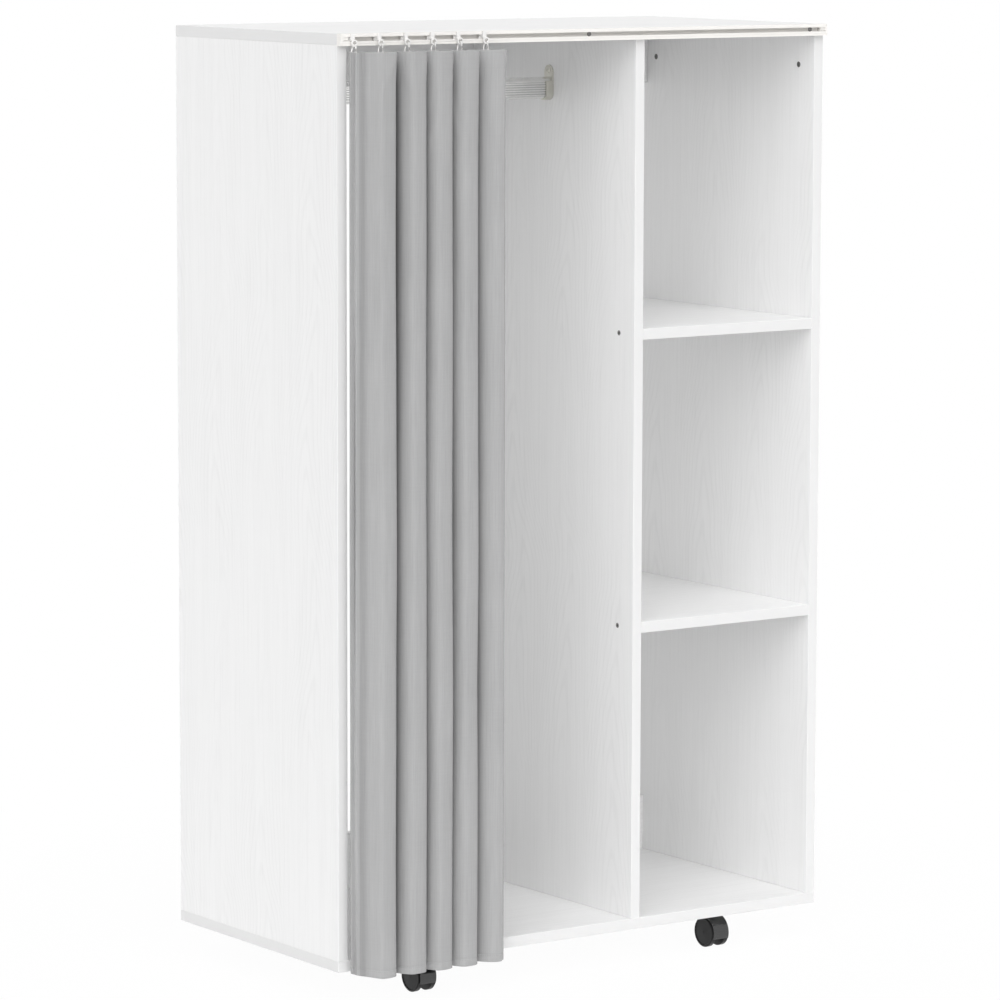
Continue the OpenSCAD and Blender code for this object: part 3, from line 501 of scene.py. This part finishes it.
curtainShape = {
    "cloth": 0.0010,         # thickness
    "topDrop": 0.0240,       # top edge below the top of the cabinet
    "below": 0.0080,         # how far it hangs below the cabinet
    "leftInset": 0.0096,     # left edge from the cabinet's left face
    "peak": 0.0332,          # pleats' fronts before the front face
    "valley": 0.0036,        # and their backs
    "headingValley": 0.0130,  # their backs in the heading, where the pleats are shallow
    "heading": 0.0140,       # its height
    "growth": 0.0300,        # and how far below it the pleats are at full depth
    "hemTurns": ((0, 0.40), (0.0077, 0.33), (0.0107, 0.43), (0.0220, 0.40)),  # from the left edge
    "firstLead": 0.0084,     # first pleat's front before its hook
    "lead": 0.0004,          # the other fronts beyond theirs
    "rest": 0.0164,          # pleats' backs before the next hook
    "ease": 0.5,             # how quickly a pleat's open side comes forward
    "tuck": 0.0124,          # how far its hidden side tucks under it
    "endTurns": ((0.013, 1.0), (0.021, 0.75)),  # from the last hook
    "looseFrom": 0.06,       # below the top, where the turns begin to wander
    "looseRun": 0.5,         # and how far below that they wander in full
    "wanderX": 0.0021,       # how far to the sides
    "paceX": 2.3,            # and how often in a metre of height
    "wanderShare": 0.030,    # and the same for their share of the depth
    "paceShare": 2.9,
    "leastShare": -0.02,     # the furthest back that a turn may wander
    "cornerLift": 0.0090,    # how far the left corner is raised
    "cornerRun": 0.0450,     # and how far from it the edge is level again
    "stepsPerTurn": 18,      # columns of the mesh from one turn to the next
    "rowHeight": 0.0070,     # of the mesh between hem and heading
    "hem": 0.0100,           # height of the bottom hem
    "sideHem": 0.0085,
    "hemSwell": 0.00035,     # how much a hem stands out on each side
    "seam": 0.0007,          # half of a seam's width
    "seamSink": 0.0003,      # and its depth on each side
    "rounding": 0.0006,      # height over which the edges thin out
    "thinnest": 0.55,        # and the share of the thickness that is left there
    "leastHalf": 0.0002,     # half of the least thickness anywhere
    "gather": 0.00020,       # fine gathers under the tape
    "gatherPitch": 0.0055,
    "gatherWander": 2.5,     # how uneven they are
    "gatherScale": 60,
    "gatherAt": 0.014,       # below the top, where they are deepest
    "gatherReach": 0.016,
}

clothWaves = {
    "slow": 0.0005,          # height of slow waves in the whole cloth
    "slowAlong": 95,         # their changes in a metre
    "slowUp": 5.5,
    "slowTop": 0.05,         # how far below the top they are at full height
    "wrinkle": 0.0004,       # height of wrinkles near the bottom
    "wrinkleAlong": 40,
    "wrinkleUp": 24,
    "wrinkleReach": 0.12,    # how far up they go
}

# Rows of the mesh above the bottom edge and below the top edge
hemRows = (0, 0.0004, 0.0012, 0.0045, 0.0085, 0.0094, 0.0100, 0.0106, 0.0116, 0.0150, 0.0200)
topRows = (0, 0.0005, 0.0015, 0.0030, 0.0050, 0.0075, 0.0100, 0.0130, 0.0160, 0.0190, 0.0220,
           0.0255, 0.0290, 0.0330, 0.0380, 0.0430, 0.0490, 0.0550)

tapeShape = {
    "from": 0.0030,          # below the top of the cloth
    "height": 0.0220,
    "thickness": 0.0006,
    "gap": 0.00005,
    "rows": 12,              # of the mesh
    "spare": 2,              # columns of the cloth that it leaves free at each side
    "seamInset": 0.001,      # its seams inside its edges
}

creases = (  # place along the cloth and below its top, lean in degrees, length, width, depth
    (0.058, 0.030, 62, 0.030, 0.0040, 0.0016),
    (0.050, 0.052, 74, 0.024, 0.0050, 0.0010),
    (0.155, 0.060, -70, 0.035, 0.0060, 0.0009),
    (0.245, 0.095, 68, 0.045, 0.0060, 0.0008),
    (0.330, 0.070, -72, 0.040, 0.0060, 0.0009),
)

hookNumbers = range(1, 7)  # each hook hangs in the glider of the same number
gliderX = [sum(corner.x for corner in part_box(f"glider_{i}")) / 2 for i in hookNumbers]
hookX = [sum(corner.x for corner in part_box(f"hook_{i}")) / 2 for i in hookNumbers]
clothTop = cabinetTop - curtainShape["topDrop"]
clothBottom = underside - curtainShape["below"]
clothHeight = clothTop - clothBottom


def curtainTurns(shape):
    # Places where the cloth turns: x, share of the pleats' depth, tuck and ease of the next side
    left = cabinetLeft + shape["leftInset"]
    turns = [(left + x, share, 0, 1) for x, share in shape["hemTurns"]]
    turns.append((gliderX[1] - shape["firstLead"], 1, shape["tuck"], 1))
    turns.append((gliderX[2] - shape["rest"], 0, 0, shape["ease"]))
    for i in (2, 3, 4):
        turns.append((gliderX[i] + shape["lead"], 1, shape["tuck"], 1))
        turns.append((gliderX[i + 1] - shape["rest"], 0, 0, shape["ease"]))
    return turns + [(hookX[5] + x, share, 0, 1) for x, share in shape["endTurns"]]


def wander(seed, height, pace):
    # A slow, smooth change with height, about from -1 to 1 and different for each seed
    return 2 * noise.noise(Vector((seed * 7.31, height * pace, seed * 1.7)))


def curtainPoint(turns, k, s, z, shape):
    # Where the cloth is at height z, a share s of the way from turn k to the next
    deep = min(1.0, max(0.0, (clothTop - shape["heading"] - z) / shape["growth"]))
    loose = min(1.0, max(0.0, (clothTop - shape["looseFrom"] - z) / shape["looseRun"]))
    x0, share0, tuck, ease = turns[k]
    x1, share1 = turns[k + 1][:2]
    x0 += shape["wanderX"] * loose * wander(k, z, shape["paceX"]) * (k > 0)
    x1 += shape["wanderX"] * loose * wander(k + 1, z, shape["paceX"]) * (k + 2 < len(turns))
    shareSeed = k + 20  # past the seeds of the places
    share0 += shape["wanderShare"] * loose * wander(shareSeed, z, shape["paceShare"])
    share1 += shape["wanderShare"] * loose * wander(shareSeed + 1, z, shape["paceShare"])
    x = x0 + (x1 - x0) * s + tuck * math.sin(2 * math.pi * s)
    forward = []
    for turn, share in ((k, share0), (k + 1, share1)):
        share = min(1.0, max(shape["leastShare"], share))
        sunk = 1 if turn < len(shape["hemTurns"]) else deep  # the side hem hangs straight up to the top
        near = shape["headingValley"] + (shape["valley"] - shape["headingValley"]) * sunk
        forward.append(near + (shape["peak"] - near) * share)
    swing = (1 - math.cos(math.pi * s ** ease)) / 2
    return x, frontFace - (forward[0] + (forward[1] - forward[0]) * swing)


def curtainLine(turns, z, shape):
    steps = shape["stepsPerTurn"]
    line = [curtainPoint(turns, k, j / steps, z, shape)
            for k in range(len(turns) - 1) for j in range(steps)]
    line.append(curtainPoint(turns, len(turns) - 2, 1, z, shape))
    return np.array(line)


def acrossLine(line):
    # Unit vector square to the cloth, out of its front
    run = np.gradient(line, axis=0)
    run /= np.linalg.norm(run, axis=1)[:, None]
    return np.stack([run[:, 1], -run[:, 0]], axis=1)


def clothRelief(along, z, shape, waves):
    # How far each point of a row stands out of the smooth fold
    down = clothTop - z
    slow = np.array([noise.noise(Vector((a * waves["slowAlong"], z * waves["slowUp"], 3.3)))
                     for a in along])
    relief = waves["slow"] * slow * min(1.0, down / waves["slowTop"])
    wrinkle = np.array([noise.noise(Vector((a * waves["wrinkleAlong"], z * waves["wrinkleUp"], 8.1)))
                        for a in along])
    relief += waves["wrinkle"] * wrinkle * math.exp(-((z - clothBottom) / waves["wrinkleReach"]) ** 2)
    uneven = np.array([noise.noise(Vector((a * shape["gatherScale"], 0, 5))) for a in along])
    phase = 2 * math.pi * along / shape["gatherPitch"] + shape["gatherWander"] * uneven
    gathered = math.exp(-((down - shape["gatherAt"]) / shape["gatherReach"]) ** 2)
    relief += shape["gather"] * np.sin(phase) * gathered
    for place, below, lean, length, width, depth in creases:
        turn = math.radians(lean)
        dx, dz = along - place, below - down
        lengthwise = (dx * math.cos(turn) + dz * math.sin(turn)) / length
        crosswise = (dz * math.cos(turn) - dx * math.sin(turn)) / width
        relief += depth * np.exp(-lengthwise ** 2 - crosswise ** 2)
    return relief


def halfThickness(along, z, shape):
    # Hems are thicker, with a sewn line at their inner side and a rounded outer edge
    up = z - clothBottom
    sides = np.minimum(along, along[-1] - along)
    half = np.full(len(along), shape["cloth"] / 2)
    inHem = (up < shape["hem"]) | (sides < shape["sideHem"])
    half += shape["hemSwell"] * inHem
    seams = np.exp(-((sides - shape["sideHem"]) / shape["seam"]) ** 2)
    seams += math.exp(-((up - shape["hem"]) / shape["seam"]) ** 2)
    half -= shape["seamSink"] * np.minimum(1, seams)
    inward = min(1.0, min(up, clothTop - z) / shape["rounding"])
    half *= shape["thinnest"] + (1 - shape["thinnest"]) * inward
    return np.maximum(half, shape["leastHalf"])


def clothHeights(shape):
    low, high = clothBottom + hemRows[-1], clothTop - topRows[-1]
    middle = np.linspace(low, high, int(round((high - low) / shape["rowHeight"])) + 1)[1:-1]
    return [clothBottom + d for d in hemRows] + list(middle) + [clothTop - d for d in reversed(topRows)]


def clothRows(shape, heights):
    # Middle of the cloth, its direction outwards and its flat places, row by row
    turns = curtainTurns(shape)
    left = cabinetLeft + shape["leftInset"]
    rows = []
    for z in heights:
        line = curtainLine(turns, z, shape)
        along = np.concatenate([[0], np.cumsum(np.linalg.norm(np.diff(line, axis=0), axis=1))])
        line = line + acrossLine(line) * clothRelief(along, z, shape, clothWaves)[:, None]
        lift = shape["cornerLift"] * np.maximum(0, 1 - (line[:, 0] - left) / shape["cornerRun"]) ** 2
        rise = lift * (1 - (z - clothBottom) / clothHeight)
        rows.append((line, acrossLine(line), along, z + rise))
    return rows


def layerPoints(rows, offsets):
    # One skin of a layer: rows x columns x 3
    return np.array([np.column_stack([line + out * offset[:, None], z])
                     for (line, out, along, z), offset in zip(rows, offsets)])


shadeLimits = {  # where the painted shade of the valleys stays away, from the left edge
    "hemEnd": 0.0150,
    "hemFade": 0.003,
    "faceEnd": 0.040,
    "faceShare": 0.47,   # of the pleats' depth, the least that the first face counts as, for the painted shade
}


def outOfValley(line, shape, limits):
    # How far each point counts as lying before the front face, for the painted shade of the valleys in
    # the material
    fromEdge = line[:, 0] - cabinetLeft - shape["leftInset"]
    sideHem = shape["peak"] * np.clip((limits["hemEnd"] - fromEdge) / limits["hemFade"], 0, 1)
    firstFace = shape["peak"] * limits["faceShare"] * (fromEdge < limits["faceEnd"])
    return np.maximum.reduce([frontFace - line[:, 1], sideHem, firstFace])


def closedLayer(name, rows, outer, inner, material):
    # A closed sheet between two skins
    # Its attribute holds the place along, the height above the hem and the distance out of the valley,
    # which sets the painted valley shade
    skins = [layerPoints(rows, outer), layerPoints(rows, inner)]
    count, columns = skins[0].shape[:2]
    size = count * columns
    faces = []
    for r in range(count - 1):
        for c in range(columns - 1):
            a = r * columns + c
            b = a + size
            faces.append((a, a + 1, a + columns + 1, a + columns))
            faces.append((b, b + columns, b + columns + 1, b + 1))
    rim = [c for c in range(columns)] + [r * columns + columns - 1 for r in range(1, count)]
    rim += [(count - 1) * columns + c for c in range(columns - 2, -1, -1)]
    rim += [r * columns for r in range(count - 2, 0, -1)]
    for a, b in zip(rim, rim[1:] + rim[:1]):
        faces.append((b, a, a + size, b + size))
    mesh = bpy.data.meshes.new(name)
    mesh.from_pydata(np.concatenate([skin.reshape(-1, 3) for skin in skins]).tolist(), [], faces)
    place = np.zeros((2 * size, 3), np.float32)
    place[:, 0] = np.tile(rows[count // 2][2], 2 * count)  # threads run straight down
    place[:, 1] = np.tile(np.repeat([row[3].mean() - clothBottom for row in rows], columns), 2)
    forward = [outOfValley(row[0], curtainShape, shadeLimits) for row in rows]
    place[:, 2] = np.tile(np.concatenate(forward), 2)
    mesh.attributes.new("clothPlace", "FLOAT_VECTOR", "POINT").data.foreach_set("vector", place.ravel())
    mesh.polygons.foreach_set("use_smooth", [True] * len(mesh.polygons))
    mesh.materials.append(material)
    mesh.update()
    piece = bpy.data.objects.new(name, mesh)
    bpy.context.scene.collection.objects.link(piece)
    return piece


clothFinish = {
    "grey": tint(0.398, 0.398, 0.400),
    "threadPitch": 0.00062,
    "weaveTone": (0.93, 1.04),      # painted shade between the threads and painted light on them
    "slubScale": (620, 14, 1),      # changes in a metre along the cloth and up
    "slubRange": (0.32, 0.68),
    "streak": 0.05,                 # lighter and darker threads
    "crossScale": (20, 520, 1),
    "crossStreak": 0.015,
    "patchScale": (26, 7, 1),
    "patch": 0.025,                 # broad unevenness
    "foldShade": 0.26,              # painted shade: brightness at the bottom of a valley between pleats
    "foldReach": 0.0170,            # and how far forward of it the painted shade ends
    "stitchPitch": 0.0028,
    "stitchWidth": 0.0007,          # half of it
    "seamTone": 0.90,
    "stitchTone": 1.10,
    "tapeSeam": 0.35,               # how far the tape's seams show on the front
    "weaveRelief": 0.6,             # shares of the relief, with the slubs' as 1
    "stitchRelief": 1.6,
    "reliefStrength": 0.45,
    "reliefDepth": 0.00016,         # metres
    "roughness": (0.84, 0.94),
    "gloss": 0.2,
    "sheen": 0.15,
    "sheenRoughness": 0.5,
}

tapeFinish = {
    "white": tint(0.70, 0.70, 0.69),
    "threadPitch": 0.0009,
    "pocketPitch": 0.0075,
    "pocketRange": (0.0, 0.35),     # the wall of a pocket, of half a pitch
    "ridgePitch": 0.0055,
    "ridgeRange": (0.75, 1.0),      # the crest of a ridge
    "weaveRelief": 0.3,
    "heightRange": (0.0, 1.6),
    # painted shade and light: brightness from the lowest to the highest relief
    "tone": (0.86, 1.04),
    "reliefStrength": 0.5,
    "reliefDepth": 0.0005,          # metres
    "roughness": (0.90, 0.78),
    "gloss": 0.2,
}


def ramp(tree, value, centre, halfWidth):
    # 1 at the centre, 0 beyond the half width
    away = calc(tree, "ABSOLUTE", calc(tree, "SUBTRACT", value, centre))
    return remap(tree, away, halfWidth * 0.5, halfWidth, 1.0, 0.0, smooth=True)


def weaveHeight(tree, parts, pitch):
    # Threads over and under each other
    waves = [calc(tree, "MULTIPLY", parts.outputs[axis], math.pi / pitch) for axis in (0, 1)]
    across = calc(tree, "MULTIPLY", calc(tree, "SINE", waves[0]), calc(tree, "SINE", waves[1]))
    return calc(tree, "ABSOLUTE", across)


def dashes(tree, line, place, pitch):
    # The stitches of a sewn line
    wave = calc(tree, "SINE", calc(tree, "MULTIPLY", place, 2 * math.pi / pitch))
    return calc(tree, "MULTIPLY", line, remap(tree, wave, -0.5, 0.0, 0.0, 1.0))


def stitchLines(tree, parts, finish):
    # The sewn lines beside the hems and along the tape, and the stitches in them
    along, up = parts.outputs[0], parts.outputs[1]
    width = finish["stitchWidth"]
    tapeTop = clothHeight - tapeShape["from"] - tapeShape["seamInset"]
    tapeLow = clothHeight - tapeShape["from"] - tapeShape["height"] + tapeShape["seamInset"]
    taped = calc(tree, "MAXIMUM", ramp(tree, up, tapeTop, width), ramp(tree, up, tapeLow, width))
    rows = calc(tree, "MAXIMUM", ramp(tree, up, curtainShape["hem"], width),
                calc(tree, "MULTIPLY", taped, finish["tapeSeam"]))
    upright = ramp(tree, along, curtainShape["sideHem"], width)
    sewn = dashes(tree, rows, along, finish["stitchPitch"])
    sewnUp = dashes(tree, upright, up, finish["stitchPitch"])
    return calc(tree, "MAXIMUM", rows, upright), calc(tree, "MAXIMUM", sewn, sewnUp)


def clothTone(tree, place, parts, weave, slubs, seams, stitches, finish):
    # Brightness of each spot: threads with painted shade between them, patches, painted shade in the
    # valleys, seams
    crossSlubs = noiseValue(tree, stretched(tree, place, finish["crossScale"]), 1.0, 3.0, 0.6)
    patches = noiseValue(tree, stretched(tree, place, finish["patchScale"]), 1.0, 4.0, 0.55)
    valley = curtainShape["valley"]
    shares = [
        remap(tree, crossSlubs, *mostNoise, 1 - finish["crossStreak"], 1 + finish["crossStreak"]),
        remap(tree, patches, *mostNoise, 1 - finish["patch"], 1 + finish["patch"]),
        # painted shade between the threads and painted light on them
        remap(tree, weave, 0.0, 1.0, *finish["weaveTone"]),
        # painted shade: darker towards the bottom of each valley between the pleats
        remap(tree, parts.outputs[2], valley, valley + finish["foldReach"],
              finish["foldShade"], 1.0, smooth=True),
        remap(tree, seams, 0.0, 1.0, 1.0, finish["seamTone"]),
        remap(tree, stitches, 0.0, 1.0, 1.0, finish["stitchTone"]),
    ]
    level = remap(tree, slubs, *finish["slubRange"], 1 - finish["streak"], 1 + finish["streak"])
    for share in shares:
        level = calc(tree, "MULTIPLY", level, share)
    return level


def makeClothMaterial(name, finish):
    material, tree, shader = startMaterial(name)
    place = addNode(tree, "Attribute", attribute_name="clothPlace").outputs["Vector"]
    parts = addNode(tree, "SeparateXYZ", {0: place})
    weave = weaveHeight(tree, parts, finish["threadPitch"])
    slubs = noiseValue(tree, stretched(tree, place, finish["slubScale"]), 1.0, 3.0, 0.62)
    seams, stitches = stitchLines(tree, parts, finish)
    level = clothTone(tree, place, parts, weave, slubs, seams, stitches, finish)
    wire(tree, shaded(tree, finish["grey"], level), shader, "Base Color")
    height = calc(tree, "ADD", calc(tree, "MULTIPLY", weave, finish["weaveRelief"]), slubs)
    sewn = calc(tree, "SUBTRACT", calc(tree, "MULTIPLY", stitches, finish["stitchRelief"]), seams)
    height = calc(tree, "ADD", height, sewn)
    wire(tree, bump(tree, height, finish["reliefStrength"], finish["reliefDepth"]), shader, "Normal")
    wire(tree, remap(tree, slubs, *mostNoise, *finish["roughness"]), shader, "Roughness")
    shader.inputs["Specular IOR Level"].default_value = finish["gloss"]
    shader.inputs["Sheen Weight"].default_value = finish["sheen"]
    shader.inputs["Sheen Roughness"].default_value = finish["sheenRoughness"]
    return material


def rowsOf(tree, value, pitch):
    # 0 at each multiple of the pitch, 1 between two of them
    return calc(tree, "ABSOLUTE", calc(tree, "SINE", calc(tree, "MULTIPLY", value, math.pi / pitch)))


def makeTapeMaterial(name, finish):
    # Woven heading tape: rows of pockets between raised ridges, with painted shade in the pockets and
    # painted light on the ridges
    material, tree, shader = startMaterial(name)
    place = addNode(tree, "Attribute", attribute_name="clothPlace").outputs["Vector"]
    parts = addNode(tree, "SeparateXYZ", {0: place})
    weave = weaveHeight(tree, parts, finish["threadPitch"])
    pockets = rowsOf(tree, parts.outputs[0], finish["pocketPitch"])
    bars = remap(tree, pockets, *finish["pocketRange"], 1.0, 0.0, smooth=True)
    crests = rowsOf(tree, parts.outputs[1], finish["ridgePitch"])
    ridges = remap(tree, crests, *finish["ridgeRange"], 0.0, 1.0, smooth=True)
    height = calc(tree, "ADD", calc(tree, "MULTIPLY", weave, finish["weaveRelief"]),
                  calc(tree, "ADD", bars, ridges))
    # painted shade and light: darker where the relief is low, lighter where it is high
    level = remap(tree, height, *finish["heightRange"], *finish["tone"])
    wire(tree, shaded(tree, finish["white"], level), shader, "Base Color")
    wire(tree, bump(tree, height, finish["reliefStrength"], finish["reliefDepth"]), shader, "Normal")
    wire(tree, remap(tree, weave, 0.0, 1.0, *finish["roughness"]), shader, "Roughness")
    shader.inputs["Specular IOR Level"].default_value = finish["gloss"]
    return material


clothMaterial = makeClothMaterial("curtainCloth", clothFinish)
tapeMaterial = makeTapeMaterial("curtainTape", tapeFinish)


def makeTape(shape, tape):
    low = clothTop - tape["from"] - tape["height"]
    rows = clothRows(shape, np.linspace(low, low + tape["height"], tape["rows"]))
    columns = slice(tape["spare"], -tape["spare"])
    rows = [(line[columns], out[columns], along[columns], z[columns]) for line, out, along, z in rows]
    near = -shape["cloth"] / 2 - tape["gap"]
    outer = [np.full(len(row[2]), near) for row in rows]
    inner = [np.full(len(row[2]), near - tape["thickness"]) for row in rows]
    return closedLayer("curtain_tape", rows, outer, inner, tapeMaterial)


def makeCurtain(shape):
    heights = clothHeights(shape)
    rows = clothRows(shape, heights)
    halves = [halfThickness(row[2], z, shape) for row, z in zip(rows, heights)]
    piece = closedLayer("curtain_cloth", rows, halves, [-half for half in halves], clothMaterial)
    tape = makeTape(shape, tapeShape)
    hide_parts("curtain")
    for layer in (piece, tape):
        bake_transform(layer)


makeCurtain(curtainShape)

scene = bpy.context.scene
scene.view_settings.view_transform = "Standard"
